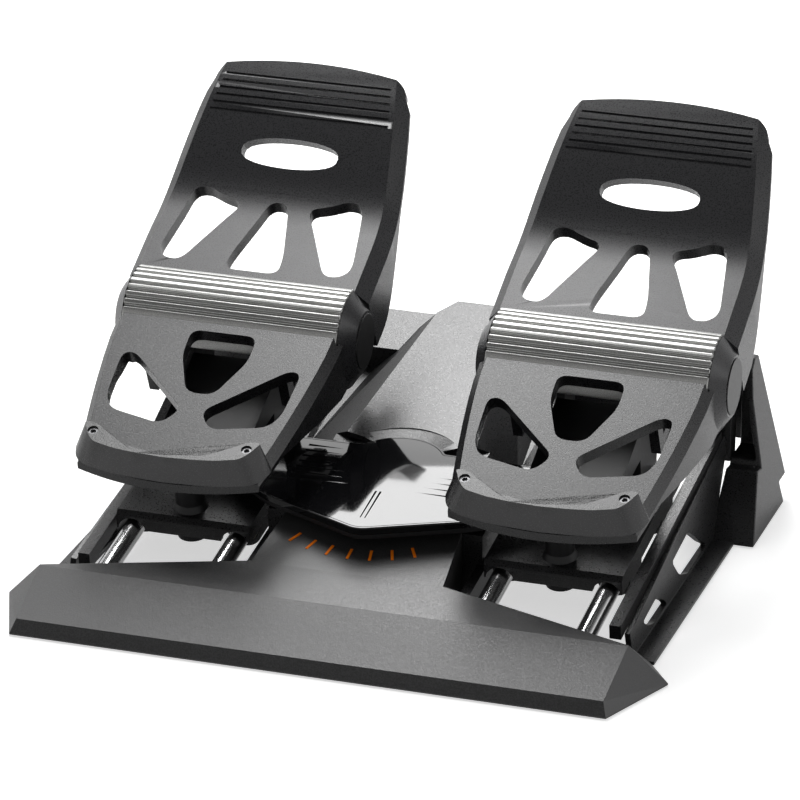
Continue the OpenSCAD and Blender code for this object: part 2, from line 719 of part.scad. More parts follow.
// Rocker: gloss cover on a dark frame, with a slot at each end for a link pin
function rocker_outline(inset, back) = soft(both(concat(
    [for (p = rocker_shares) [p[0] * half_track + (p[0] > 1 ? -inset : 0), p[1] * rocker_reach + inset]],
    [[rocker_shares[5][0] * half_track - inset, back]])), rocker_soft);
module pin_slots() {
    for (m = [-1, 1]) hull() for (r = [half_track, arm_r])
        translate([m * r, 0, 0]) cylinder(r = pin_d / 2 + slot_clear, h = rocker_h);
}
module rocker_plate(inset, back, disc, h, t) {
    translate([0, 0, h]) linear_extrude(t) union() {
        polygon(rocker_outline(inset, back));
        circle(disc);
    }
}
module rocker_cover() {
    top = rocker_h;
    color("#0a0a0b") at_pivot(0) difference() {
        rocker_plate(0, arm_back, disc_r, top - cover_t, cover_t);
        for (m = [-1, 1]) mirror([m < 0 ? 1 : 0, 0, 0])
            translate([half_track - pin_head_r - slot_clear, -pin_head_r - slot_clear, 0])
                cube([half_track, 2 * (pin_head_r + slot_clear), rocker_h + over]);
        for (i = [0:fin_count - 1], m = [-1, 1])
            translate([m * (fin_in + fin_out) / 2, fin_first + i * fin_pitch, top])
                cube([fin_out - fin_in, fin_w, 2 * fin_deep], center = true);
        for (m = [-1, 1]) translate([m * pointer_gap / 2 - pointer_w / 2, -pointer_far, top - fin_deep])
            cube([pointer_w, pointer_far - pointer_near, fin_deep + over]);
    }
}
module rocker_frame() {
    color("#18181a") at_pivot(0) difference() {
        rocker_plate(frame_inset, frame_back, disc_r - frame_inset,
            rocker_h - cover_t - rocker_frame_t, rocker_frame_t);
        pin_slots();
        cylinder(d = shaft_d + 2 * fit, h = rocker_h);
    }
}

// Carriage: an arched block with four bored housings on the two rails
module carriage(side) {
    color("#222325") on_carriage(side) difference() {
        union() {
            difference() {
                across(carriage_w) carriage_side(0);
                across(carriage_w - 2 * carriage_wall) carriage_side(carriage_wall);
            }
            intersection() {
                across(carriage_w) carriage_side(0, bush_d);
                for (m = [-1, 1], n = [-1, 1]) translate([m * rail_pitch / 2, n * bush_set, 0])
                    rotate([90, 0, 0]) cylinder(r = bush_d / 2 + housing_wall, h = bush_l, center = true);
            }
        }
        for (m = [-1, 1]) translate([m * rail_pitch / 2, 0, 0]) rotate([90, 0, 0]) {
            cylinder(r = rail_d / 2 + arch_clear, h = carriage_l + over, center = true);
            for (n = [-1, 1]) translate([0, 0, n * bush_set])
                cylinder(r = bush_d / 2 + fit, h = bush_l + over, center = true);
        }
        translate([0, post_s, 0]) cylinder(d = post_d + 2 * fit, h = carriage_h + over);
        cylinder(d = pin_d + 2 * fit, h = carriage_h + over);
    }
}
module carriage_side(inset, drop = 0) {
    l = carriage_l / 2 - inset;
    top = carriage_h - inset;
    low = carriage_foot - drop - (inset > 0 ? over : 0);
    polygon([[-l, low], [l, low], [l, top - base_wall], [l - base_wall, top], [base_wall - l, top],
        [-l, top - base_wall]]);
}
module bushings(side) {
    color("#d8d4c4") on_carriage(side) for (m = [-1, 1], n = [-1, 1])
        translate([m * rail_pitch / 2, n * bush_set, 0]) rotate([90, 0, 0]) difference() {
            cylinder(d = bush_d, h = bush_l, center = true);
            cylinder(r = rail_d / 2 + run_fit, h = bush_l + over, center = true);
        }
}

// Post from the carriage to the underside of the tray, and the nut under it
module pedal_post(side) {
    color("#1d1d1f") difference() {
        on_carriage(side) translate([0, post_s, 0]) {
            cylinder(d = post_d, h = axle_h);
            translate([0, 0, carriage_h]) cylinder(r1 = saddle_r, r2 = post_d / 2, h = saddle_t);
        }
        on_tray(side) translate([-half_track, heel_front - heel_l, heel_lift - pedal_t - fit])
            cube([track_w, 3 * heel_l, axle_h]);
    }
}
module post_nut(side) {
    color("#8f9296") on_carriage(side) translate([0, post_s, -nut_t]) cylinder(r = nut_r, h = nut_t);
}
module link_pin(side) {
    head_h = rocker_h - cover_t + gap / 2;
    color("#b9bcc0") on_carriage(side) {
        cylinder(d = pin_d, h = head_h);
        translate([0, 0, head_h]) cylinder(r = pin_head_r, h = rocker_h - head_h);
    }
}

// Hollow yoke on the back of the carriage that carries the pedal axle, its canopy over the rocker
module rear_yoke(side) {
    roof = sized(yoke_shares, axle_s, axle_h);
    back = axle_s + yoke_eye_r + over;
    color("#2a2b2d") on_carriage(side) difference() {
        across(2 * yoke_u + yoke_t) union() {
            polygon(concat([[roof[3][0], carriage_h], [axle_s, carriage_h], [axle_s + yoke_eye_r, axle_h],
                [axle_s - yoke_eye_r, axle_h]], roof));
            translate([axle_s, axle_h]) circle(yoke_eye_r);
        }
        across(2 * yoke_u - yoke_t) polygon([[roof[3][0] + yoke_wall, carriage_h + yoke_wall],
            [back, carriage_h + yoke_wall], [back, 2 * axle_h], [roof[0][0], 2 * axle_h],
            [roof[0][0], roof[0][1] - yoke_wall], [roof[1][0] + yoke_wall, roof[1][1] - yoke_wall],
            [roof[2][0] + yoke_wall, roof[2][1] + yoke_wall / 2],
            [roof[3][0] + yoke_wall, roof[3][1] + yoke_wall / 2]]);
        translate([0, axle_s, axle_h]) rotate([0, 90, 0])
            cylinder(d = axle_d + 2 * fit, h = carriage_w, center = true);
    }
}
module axle(side) {
    color("#a9acb0") at_axle(side) rotate([0, 90, 0])
        cylinder(d = axle_d, h = pedal_w + 2 * (bevel_w - cap_t), center = true);
}
module brake_spring(side) {
    color("#8d9094") at_axle(side) translate([yoke_u + yoke_t / 2 + gap, 0, 0]) rotate([0, 90, 0])
        difference() {
            cylinder(r = axle_d / 2 + gap + spring_wall, h = lug_u - yoke_u - yoke_t - 2 * gap);
            translate([0, 0, -over]) cylinder(r = axle_d / 2 + gap, h = lug_u);
        }
}
module brake_sensor(side) {
    color("#3c5a78") at_axle(side) translate([-yoke_u - yoke_t / 2 - sensor_t - gap, 0, 0])
        rotate([0, 90, 0]) difference() {
            cylinder(r = brake_sensor_r, h = sensor_t);
            translate([0, 0, -over]) cylinder(r = axle_d / 2 + fit, h = sensor_t + 2 * over);
        }
}

// Heel tray: bevelled shell with three openings, two lugs on the axle and a stop at its front
module heel_rings(hollow) {
    steps = concat(heel_step_shares, hollow ? [heel_hollow_share] : heel_end_shares);
    bw = bevel_w * heel_bevel_share;
    loft([for (i = [len(steps) - 1:-1:0]) let(k = steps[i], v = k == 0 ? 0 : heel_start - k * heel_l)
        [for (p = hollow ? hollow_ring(heel_half(k), bw, max(heel_deep(k), pedal_t + 2 * inner_bevel))
            : pedal_ring(heel_half(k), bw, bevel_h * heel_bevel_share, heel_deep(k)))
            [p[0], v + (hollow && k == 0 ? over : 0), heel_lift + p[1]]]]);
}
// Outline of the tray on level ground: its front wall stands upright
function level(points) = [for (p = points)
    [p[0], (heel_start + p[1]) * cos(heel_slope) - heel_lift * sin(heel_slope)]];
module heel_outline() {
    intersection() {
        translate(level([[0, -heel_l]])[0] + [0, heel_arc_r]) circle(heel_arc_r, $fn = 160);
        polygon(soft(both(level(sized(heel_outline_shares, pedal_w / 2, heel_l))), heel_corner));
    }
}

// Heel stop, its walls leaning in to its top, and the seat that it and the space before it take
module stop_block() {
    rings = [[stop_foot_shares, -seam_drop], [stop_top_shares, stop_h]];
    loft([for (r = rings) [for (p = soft(both(sized(concat(r[0], stop_inner_shares), pedal_w / 2, heel_l)),
        stop_soft)) [p[0], heel_start + p[1], heel_lift + r[1]]]]);
}
module stop_seat() {
    front = [for (i = [0:len(stop_foot_shares) - 2]) stop_foot_shares[i]];
    translate([0, heel_start, heel_lift - seam_drop]) linear_extrude(stop_h + seam_drop) {
        polygon(both(sized(concat(stop_foot_shares, stop_inner_shares), pedal_w / 2, heel_l)));
        translate([0, -over]) polygon(both(sized(concat(front, stop_notch_shares), pedal_w / 2, heel_l)));
    }
}
module heel_tray(side) {
    w = pedal_w / 2;
    color("#2b2c2e") on_tray(side) difference() {
        union() {
            intersection() {
                difference() {
                    heel_rings(false);
                    heel_rings(true);
                }
                rotate([-heel_slope, 0, 0]) translate([0, 0, -heel_l])
                    linear_extrude(2 * heel_l) heel_outline();
            }
            for (m = [-1, 1]) translate([m * lug_u, 0, 0]) across(lug_t) union() {
                polygon([[rib_v, heel_lift - pedal_t / 2], [heel_start * 2, heel_lift - pedal_t / 2],
                    [heel_start * 2, -over], [0, lug_r * 0.6], [0, -lug_r], [rib_v, -lug_r]]);
                circle(lug_r);
            }
        }
        rotate([0, 90, 0]) {
            difference() {
                cylinder(r = band_r + gap, h = pedal_w + 2 * gap, center = true);
                cylinder(r = band_r - band_wall - gap, h = pedal_w + 4 * gap, center = true);
                translate([-band_low, -band_r * 2, -pedal_w]) cube([band_r * 2, band_r * 4, 2 * pedal_w]);
            }
            ear_cones(gap);
            cylinder(d = axle_d + 2 * fit, h = pedal_w, center = true);
        }
        for (m = [-1, 1]) translate([0, heel_start, heel_lift - toe_skirt / 2])
            linear_extrude(toe_skirt) polygon(soft(sized(heel_side_shares, m * w, heel_l), heel_soft));
        translate([0, heel_start, heel_lift - toe_skirt / 2])
            linear_extrude(toe_skirt) polygon(soft(sized(heel_mid_shares, w, heel_l), heel_soft));
        stop_seat();
        screw_places() translate([0, 0, -screw_l]) cylinder(r = screw_shank_r - fit, h = screw_l);
    }
}
module screw_places() {
    for (m = [-1, 1])
        translate([m * screw_share * pedal_w / 2, heel_start - screw_back_share * heel_l, heel_lift + stop_h])
            children();
}
module heel_stop(side) {
    color("#333437") on_tray(side) difference() {
        stop_block();
        screw_places() {
            translate([0, 0, -bolt_t]) cylinder(r = screw_r + fit, h = bolt_t + over);
            translate([0, 0, -screw_l * 2]) cylinder(r = screw_shank_r + fit, h = screw_l * 2);
        }
    }
}
module heel_screws(side) {
    color("#101011") on_tray(side) screw_places() difference() {
        union() {
            translate([0, 0, -bolt_t]) cylinder(r = screw_r, h = bolt_t - over / 2);
            translate([0, 0, -screw_l]) cylinder(r = screw_shank_r - 2 * fit, h = screw_l - bolt_t);
        }
        translate([0, 0, -bolt_t + over / 2]) cylinder(r = socket_hex_r, h = bolt_t, $fn = 6);
    }
}

// Toe plate: a curved bevelled shell on two ears, with four openings and grooves
module ear_cones(extra) {
    for (m = [-1, 1]) translate([0, 0, m * (pedal_w - gap) / 2]) mirror([0, 0, m < 0 ? 1 : 0])
        cylinder(r1 = barrel_r + extra, r2 = ear_r + extra, h = bevel_w + gap / 2 + (extra > 0 ? over : 0));
}
module toe_rings(hollow) {
    last = hollow ? floor(toe_ring_count * hollow_share) : toe_ring_count;
    loft([for (i = [0:last]) let(k = i / toe_ring_count, a = toe_slope(k * toe_l),
        back = i > 0 ? 0 : hollow ? 2 * over : over, p = toe_at(i) - back * [cos(a), sin(a)])
        [for (q = hollow ? hollow_ring(toe_half(k), bevel_w, toe_deep(k))
            : pedal_ring(toe_half(k), bevel_w, bevel_h, toe_deep(k)))
            [q[0], p[0] - q[1] * sin(a), p[1] + q[1] * cos(a)]]]);
}
module at_toe(k) {
    i = round(k * toe_ring_count);
    p = toe_at(i);
    translate([0, p[0], p[1]]) rotate([toe_slope(k * toe_l), 0, 0])
        translate([0, -k * toe_l, 0]) children();
}
module toe_plate(side) {
    w = pedal_w / 2;
    color("#2b2c2e") at_axle(side) difference() {
        union() {
            intersection() {
                difference() {
                    toe_rings(false);
                    toe_rings(true);
                }
                at_toe(1) translate([0, toe_l - toe_trim, -toe_l]) linear_extrude(2 * toe_l)
                    polygon(both(toe_outline));
            }
            rotate([0, 90, 0]) ear_cones(0);
        }
        rotate([0, 90, 0]) {
            cylinder(d = axle_d + 2 * run_fit, h = 2 * pedal_w, center = true);
            cylinder(r = band_r - band_wall, h = pedal_w - gap, center = true);
            for (m = [-1, 1]) translate([0, 0, m * (w + bevel_w)])
                cylinder(r = cap_r + fit, h = 2 * (cap_t - cap_proud), center = true);
        }
        intersection() {
            rotate([0, 90, 0]) cylinder(r = barrel_r, h = pedal_w - gap, center = true);
            rotate([band_from, 0, 0]) translate([-pedal_w, -2 * band_r, 0])
                cube([2 * pedal_w, 4 * band_r, 2 * band_r]);
        }
        at_toe(window_share) {
            for (m = [-1, 1]) translate([0, 0, -toe_skirt / 3]) linear_extrude(toe_skirt * 0.6)
                polygon(soft(sized(toe_side_shares, m * w, toe_l), toe_soft));
            translate([0, 0, -toe_skirt / 3])
                linear_extrude(toe_skirt * 0.6) polygon(soft(sized(toe_mid_shares, w, toe_l), toe_soft));
        }
        at_toe(lens_share) translate([0, lens_share * toe_l, -toe_skirt / 3])
            linear_extrude(toe_skirt * 0.6)
                polygon([for (a = [0:12:348]) [lens_w / 2 * cos(a), lens_h / 2 * sin(a)]]);
        at_toe(groove_share) for (i = [0:groove_count - 1]) let(t = toe_l - groove_first - i * groove_pitch,
            half = toe_half(t / toe_l) - groove_inset)
            translate([-half, t - groove_w / 2, -groove_deep]) cube([2 * half, groove_w, toe_rim]);
    }
}
module hinge_band(side) {
    color("#6f7072") at_axle(side) across(pedal_w - 2 * gap) difference() {
        circle(band_r, $fn = 120);
        circle(band_r - band_wall, $fn = 120);
        polygon([[0, 0], for (a = [band_to, 250, 310, 370, 360 + band_from])
            3 * band_r * [cos(a), sin(a)]]);
        for (i = [1:rib_count - 1]) rotate(band_from + i * (rib_end - band_from) / rib_count)
            translate([band_r - rib_groove_deep, -rib_groove_w / 2]) square([band_wall, rib_groove_w]);
    }
}
module axle_caps(side) {
    color("#3a3b3d") at_axle(side) for (m = [-1, 1])
        translate([m * (pedal_w / 2 + bevel_w - cap_t + cap_proud), 0, 0]) rotate([0, m * 90, 0])
            cylinder(r = cap_r, h = cap_t);
}

front_base();
scale_marks();
chassis_tub();
bottom_cover();
side_frame(left);  // side_frame_left
side_frame(right);  // side_frame_right
rear_beam();
rear_foot(left);  // rear_foot_left
rear_foot(right);  // rear_foot_right
centre_housing();
rail(left, left);  // rail_left_outer
rail(left, right);  // rail_left_inner
rail(right, left);  // rail_right_inner
rail(right, right);  // rail_right_outer
rubber_feet();
base_screws();
shaft_bearing();
centring_spring();
turn_sensor();
circuit_board();
cable_gland();
rocker_cover();
rocker_frame();
rocker_shaft();
carriage(left);  // carriage_left
carriage(right);  // carriage_right
bushings(left);  // bushings_left
bushings(right);  // bushings_right
pedal_post(left);  // pedal_post_left
pedal_post(right);  // pedal_post_right
post_nut(left);  // post_nut_left
post_nut(right);  // post_nut_right
link_pin(left);  // link_pin_left
link_pin(right);  // link_pin_right
rear_yoke(left);  // rear_yoke_left
rear_yoke(right);  // rear_yoke_right
heel_tray(left);  // heel_tray_left
heel_tray(right);  // heel_tray_right
heel_stop(left);  // heel_stop_left
heel_stop(right);  // heel_stop_right
heel_screws(left);  // heel_screws_left
heel_screws(right);  // heel_screws_right
axle(left);  // axle_left
axle(right);  // axle_right
brake_spring(left);  // brake_spring_left
brake_spring(right);  // brake_spring_right
brake_sensor(left);  // brake_sensor_left
brake_sensor(right);  // brake_sensor_right
toe_plate(left);  // toe_plate_left
toe_plate(right);  // toe_plate_right
hinge_band(left);  // hinge_band_left
hinge_band(right);  // hinge_band_right
axle_caps(left);  // axle_caps_left
axle_caps(right);  // axle_caps_right
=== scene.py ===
# Flight simulator rudder pedals: the finished look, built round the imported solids
import math

import bmesh
import bpy
from mathutils import Matrix, Quaternion, Vector


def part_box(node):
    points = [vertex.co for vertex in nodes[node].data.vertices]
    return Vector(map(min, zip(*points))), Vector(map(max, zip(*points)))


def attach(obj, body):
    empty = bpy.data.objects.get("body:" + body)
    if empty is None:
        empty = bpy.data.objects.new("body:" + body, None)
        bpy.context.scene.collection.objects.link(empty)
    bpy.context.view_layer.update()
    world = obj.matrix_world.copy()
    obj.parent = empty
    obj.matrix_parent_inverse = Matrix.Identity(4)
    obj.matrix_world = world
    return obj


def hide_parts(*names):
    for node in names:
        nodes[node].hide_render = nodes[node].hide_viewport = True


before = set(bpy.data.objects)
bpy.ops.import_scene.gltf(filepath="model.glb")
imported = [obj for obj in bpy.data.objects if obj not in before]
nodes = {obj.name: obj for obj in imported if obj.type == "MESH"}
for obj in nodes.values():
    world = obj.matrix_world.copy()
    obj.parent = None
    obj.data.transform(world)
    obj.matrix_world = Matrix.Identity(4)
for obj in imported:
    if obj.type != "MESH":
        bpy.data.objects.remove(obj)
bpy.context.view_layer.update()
MM = 0.001

# Sizes repeated from the part, in millimetres
OVERALL_DEPTH = 363.07
RAIL_SLOPE = 8.5
RAIL_LIFT = 5.5
PIVOT_S = 178.9
HALF_TRACK = 113.75
ROCKER_TOP = 32.0
COVER_T = 5.0
TOE_LENGTH = 159.5
TOE_LOW_SLOPE = 25.8
TOE_BEND = 20.7
TOE_FLARE = 8.0
TOE_TOP_W = 108.0
PEDAL_W = 137.0
BEVEL_W = 7.7
BEVEL_H = 9.4
LENS_W = 62.0
LENS_H = 26.0
LENS_AT = 94.7
CORNER_X = 27.0
CORNER_AT = 53.0
TOE_STEPS = 160
BARREL_R = 30.0
BARREL_TURN = 81.2
PLATE_SLOPE = 13.2
PIVOT_Y = 172.2
MARK_R = 76.0

# The gloss cover's grooves, from the middle outwards, the foremost one first
GROOVE_STARTS = (17, 21, 24, 27, 29, 31, 33)
GROOVE_END = 57
GROOVE_FIRST_Y = -31
GROOVE_PITCH = 6.2

# The angle marks as printed: inner radius, share of their length kept, and shift to the left
MARK_IN_R = 73.0
MARK_SHORTER = 0.73
MARK_SHIFT = 4.2

# Faces larger than these count as flats, on the base and on the treads
WIDE_AREA = 30 * MM * MM
SMALL_AREA = 4 * MM * MM

# The way that the heel tray faces, and the step that its stop stands proud of it
TRAY_UP = Vector((0, -0.4067, 0.9135))
STOP_LIFT = Vector((0, -0.41, 0.91)) * 0.75 * MM

# From the right pedal to the left one
TRACK = Vector((-2 * HALF_TRACK * MM, 0, 0))


def deselect_all():
    if bpy.context.mode != "OBJECT":
        bpy.ops.object.mode_set(mode="OBJECT")
    bpy.ops.object.select_all(action="DESELECT")


def pick(piece):
    deselect_all()
    piece.select_set(True)
    bpy.context.view_layer.objects.active = piece


def rocker_frame_place():
    """Carries the rocker's own frame, its pivot in the middle, to the shared frame."""
    a = math.radians(RAIL_SLOPE)
    lift = Matrix.Translation(Vector((0, -OVERALL_DEPTH / 2, RAIL_LIFT)) * MM)
    return lift @ Matrix.Rotation(a, 4, "X") @ Matrix.Translation(Vector((0, PIVOT_S, 0)) * MM)


def choose_faces(piece, wanted):
    """Goes into edit mode with just the faces selected that a test picks."""
    pick(piece)
    bpy.ops.object.mode_set(mode="EDIT")
    bpy.ops.mesh.select_mode(type="FACE")
    bpy.ops.mesh.select_all(action="DESELECT")
    shape = bmesh.from_edit_mesh(piece.data)
    for face in shape.faces:
        face.select_set(bool(wanted(face)))
    bmesh.update_edit_mesh(piece.data)


def solid_copy(node, name):
    """A moulding's own skin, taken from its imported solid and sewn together."""
    piece = bpy.data.objects.new(name, nodes[node].data.copy())
    piece.data.name = name
    piece.data.materials.clear()
    bpy.context.scene.collection.objects.link(piece)
    pick(piece)
    bpy.ops.object.mode_set(mode="EDIT")
    bpy.ops.mesh.select_all(action="SELECT")
    bpy.ops.mesh.remove_doubles(threshold=0.000004)
    bpy.ops.mesh.dissolve_limited(angle_limit=math.radians(0.6), use_dissolve_boundaries=False)
    bpy.ops.object.mode_set(mode="OBJECT")
    piece.data.normals_split_custom_set([(0, 0, 0)] * len(piece.data.loops))
    return piece


def round_edges(piece, width, segments=3, angle=35, shade=40):
    """Moulded edges are never sharp: a small radius runs round every corner."""
    pick(piece)
    edge = piece.modifiers.new("edge", "BEVEL")
    edge.width = width * MM
    edge.segments = segments
    edge.limit_method = "ANGLE"
    edge.angle_limit = math.radians(angle)
    edge.use_clamp_overlap = True
    edge.harden_normals = False
    edge.miter_outer = "MITER_ARC"
    bpy.ops.object.modifier_apply(modifier=edge.name)
    bpy.ops.object.shade_smooth_by_angle(angle=math.radians(shade))
    settle = piece.modifiers.new("settle", "WEIGHTED_NORMAL")
    settle.keep_sharp = True
    bpy.ops.object.modifier_apply(modifier=settle.name)
    return piece


def calm(mesh, kept):
    """Sets corner normals, with any that stray far from their own face brought back to it."""
    for face in mesh.polygons:
        if face.area > 0.4 * MM * MM:
            for loop in face.loop_indices:
                if kept[loop].dot(face.normal) < 0.9:
                    kept[loop] = face.normal.copy()
    mesh.normals_split_custom_set(kept)


def keep_flats(piece, face_wanted):
    """Wide faces shade flat, and the rounds beside them start out from the same direction."""
    mesh = piece.data
    kept = [corner.vector.copy() for corner in mesh.corner_normals]
    wide = {}
    for face in mesh.polygons:
        if face_wanted(face):
            for vertex in face.vertices:
                wide.setdefault(vertex, []).append(face.normal.copy())
    for face in mesh.polygons:
        for loop in face.loop_indices:
            flats = wide.get(mesh.loops[loop].vertex_index, ())
            near = [flat for flat in flats if kept[loop].dot(flat) > 0.8 and face.normal.dot(flat) > 0.7]
            if near:
                kept[loop] = max(near, key=face.normal.dot)
    calm(mesh, kept)


def dress(piece, body, material, slot, *replaced):
    piece.data.materials.clear()
    piece.data.materials.append(material)
    for face in piece.data.polygons:
        face.material_index = 0
    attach(piece, body)
    if replaced:
        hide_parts(*replaced)
    return piece


def second(piece, name, shift=TRACK):
    """The same moulding once more, with a mesh of its own."""
    twin = bpy.data.objects.new(name, piece.data.copy())
    twin.data.name = name
    twin.data.transform(Matrix.Translation(shift))
    twin.data.normals_split_custom_set([corner.vector.copy() for corner in piece.data.corner_normals])
    bpy.context.scene.collection.objects.link(twin)
    return twin


def start_material(name):
    material = bpy.data.materials.new(name)
    material.use_nodes = True
    tree = material.node_tree
    shader = tree.nodes["Principled BSDF"]
    place = tree.nodes.new("ShaderNodeTexCoord")
    return material, tree, shader, place.outputs["Object"]


def noise(tree, place, scale, detail=2.0, rough=0.5):
    node = tree.nodes.new("ShaderNodeTexNoise")
    node.inputs["Scale"].default_value = scale
    node.inputs["Detail"].default_value = detail
    node.inputs["Roughness"].default_value = rough
    tree.links.new(place, node.inputs["Vector"])
    return node.outputs["Fac"]


def ramp(tree, value, low, high, dark, light):
    node = tree.nodes.new("ShaderNodeValToRGB")
    node.color_ramp.elements[0].position = low
    node.color_ramp.elements[1].position = high
    node.color_ramp.elements[0].color = (*dark, 1)
    node.color_ramp.elements[1].color = (*light, 1)
    tree.links.new(value, node.inputs["Fac"])
    return node.outputs["Color"]


def scaled(tree, value, low, high, start=0.0, end=1.0):
    """Carries a value from one range to another, whose ends are numbers or sockets."""
    node = tree.nodes.new("ShaderNodeMapRange")
    node.inputs["From Min"].default_value = start
    node.inputs["From Max"].default_value = end
    for name, level in (("To Min", low), ("To Max", high)):
        if isinstance(level, float):
            node.inputs[name].default_value = level
        else:
            tree.links.new(level, node.inputs[name])
    tree.links.new(value, node.inputs["Value"])
    return node.outputs["Result"]


def bump(tree, shader, height, strength, distance):
    node = tree.nodes.new("ShaderNodeBump")
    node.inputs["Strength"].default_value = strength
    node.inputs["Distance"].default_value = distance * MM
    tree.links.new(height, node.inputs["Height"])
    tree.links.new(node.outputs["Normal"], shader.inputs["Normal"])


def blended(tree, one, other, amount):
    node = tree.nodes.new("ShaderNodeMix")
    node.data_type = "RGBA"
    if isinstance(amount, float):
        node.inputs["Factor"].default_value = amount
    else:
        tree.links.new(amount, node.inputs["Factor"])
    for value, socket in ((one, node.inputs["A"]), (other, node.inputs["B"])):
        if isinstance(value, tuple):
            socket.default_value = (*value, 1)
        else:
            tree.links.new(value, socket)
    return node.outputs["Result"]


def grained_plastic(name, dark, light, roughness=0.32, grain=1100, depth=0.14, specular=0.45):
    """Spark-eroded moulded plastic: a fine pebbled grain, rubbed a little paler at its edges."""
    material, tree, shader, place = start_material(name)
    fine = noise(tree, place, grain, 1.5)
    coarse = noise(tree, place, grain * 0.32, 2.0)
    tone = ramp(tree, fine, 0.38, 0.62, dark, light)
    edge = tree.nodes.new("ShaderNodeNewGeometry").outputs["Pointiness"]
    rubbed = ramp(tree, edge, 0.53, 0.62, (0, 0, 0), (0.35, 0.35, 0.35))
    worn = blended(tree, tone, tuple(2.6 * c for c in light), rubbed)
    tree.links.new(worn, shader.inputs["Base Color"])
    tree.links.new(scaled(tree, fine, roughness - 0.16, roughness + 0.16), shader.inputs["Roughness"])
    bump(tree, shader, blended(tree, fine, coarse, 0.35), 0.45, depth)
    shader.inputs["Specular IOR Level"].default_value = specular
    return material


def plain_plastic(name, colour, roughness=0.42):
    """Smoother moulded plastic with a faint flow pattern."""
    material, tree, shader, place = start_material(name)
    flow = noise(tree, place, 420, 3.0)
    dark, light = tuple(0.85 * c for c in colour), tuple(1.15 * c for c in colour)
    tree.links.new(ramp(tree, flow, 0.3, 0.7, dark, light), shader.inputs["Base Color"])
    tree.links.new(scaled(tree, flow, roughness - 0.05, roughness + 0.05), shader.inputs["Roughness"])
    bump(tree, shader, flow, 0.25, 0.06)
    shader.inputs["Specular IOR Level"].default_value = 0.3
    return material


def gloss_black(name):
    """Piano-gloss moulding: deep black under a clear hard surface that is very slightly wavy."""
    material, tree, shader, place = start_material(name)
    wave = noise(tree, place, 16, 1.0)
    dust = noise(tree, place, 900, 2.0)
    tree.links.new(ramp(tree, dust, 0.4, 0.75, (0.003, 0.003, 0.0035), (0.006, 0.006, 0.007)),
                   shader.inputs["Base Color"])
    tree.links.new(scaled(tree, dust, 0.03, 0.07), shader.inputs["Roughness"])
    bump(tree, shader, wave, 0.06, 0.5)
    shader.inputs["Specular IOR Level"].default_value = 0.3
    return material


def polished_steel(name, tone=0.9, roughness=0.2):
    """Ground bar: fine rings left by the wheel, running round the length."""
    material, tree, shader, place = start_material(name)
    stretch = tree.nodes.new("ShaderNodeMapping")
    stretch.inputs["Scale"].default_value = (6, 900, 6)
    tree.links.new(place, stretch.inputs["Vector"])
    rings = noise(tree, stretch.outputs["Vector"], 1.0, 3.0)
    smear = noise(tree, place, 40, 2.0)
    tree.links.new(ramp(tree, smear, 0.3, 0.75, (tone * 0.88,) * 3, (tone * 1.06, tone * 1.06, tone * 1.08)),
                   shader.inputs["Base Color"])
    tree.links.new(scaled(tree, rings, roughness - 0.05, roughness + 0.07), shader.inputs["Roughness"])
    bump(tree, shader, rings, 0.03, 0.02)
    shader.inputs["Metallic"].default_value = 1.0
    return material


def satin_metal(name, tone, roughness=0.34):
    """Painted metal-grey with a fine brushed look along its ribs."""
    material, tree, shader, place = start_material(name)
    stretch = tree.nodes.new("ShaderNodeMapping")
    stretch.inputs["Scale"].default_value = (60, 1400, 1400)
    tree.links.new(place, stretch.inputs["Vector"])
    brushed = noise(tree, stretch.outputs["Vector"], 1.0, 3.0)
    flake = noise(tree, place, 1800, 1.0)
    dark, light = tuple(0.8 * c for c in tone), tuple(1.25 * c for c in tone)
    tree.links.new(ramp(tree, flake, 0.3, 0.7, dark, light), shader.inputs["Base Color"])
    tree.links.new(scaled(tree, brushed, roughness - 0.07, roughness + 0.08), shader.inputs["Roughness"])
    bump(tree, shader, brushed, 0.18, 0.03)
    shader.inputs["Metallic"].default_value = 0.75
    return material


def printed_orange(name):
    """Pad-printed ink lying on the grain of the moulding."""
    material, tree, shader, place = start_material(name)
    fine = noise(tree, place, 1300, 2.0)
    ink = ramp(tree, fine, 0.3, 0.7, (0.95, 0.19, 0.002), (1.0, 0.24, 0.004))
    tree.links.new(ink, shader.inputs["Base Color"])
    shader.inputs["Roughness"].default_value = 0.6
    shader.inputs["Specular IOR Level"].default_value = 0.1
    bump(tree, shader, fine, 0.4, 0.08)
    return material


BODY = grained_plastic("body_grain", (0.009, 0.009, 0.0095), (0.021, 0.021, 0.022))
# The front base is the body's own black plastic; its lighter tone here is painted light, standing in for the
# brighter light that its sloping top catches
PAINTED_LIGHT_FRONT = grained_plastic("front_grain_painted_light", (0.024, 0.024, 0.0245), (0.046, 0.046, 0.047),
                        roughness=0.45, specular=0.6)
PEDAL = grained_plastic("pedal_grain", (0.009, 0.009, 0.0097), (0.021, 0.021, 0.0225),
                        roughness=0.3, grain=1250)
UNDER = plain_plastic("under_plastic", (0.008, 0.008, 0.0085))
GLOSS = gloss_black("rocker_gloss")
STEEL = polished_steel("rail_ground_steel")
BLACKENED = satin_metal("blackened_screw", (0.02, 0.02, 0.021), 0.3)
SCREW = satin_metal("zinc_black_screw", (0.16, 0.16, 0.165), 0.3)
SPRING = polished_steel("spring_wire", 0.4, 0.3)
BAND = satin_metal("hinge_band_metal", (0.42, 0.42, 0.41), 0.32)
STOP = grained_plastic("stop_grain", (0.010, 0.010, 0.0105), (0.022, 0.022, 0.023),
                       roughness=0.24, grain=1300, specular=0.6)
CAP = plain_plastic("cap_satin", (0.012, 0.012, 0.0125), 0.36)
ORANGE = printed_orange("scale_ink_orange")
RUBBER = plain_plastic("foot_rubber", (0.009, 0.009, 0.009), 0.7)
BRONZE = satin_metal("sintered_bronze", (0.42, 0.27, 0.11), 0.42)
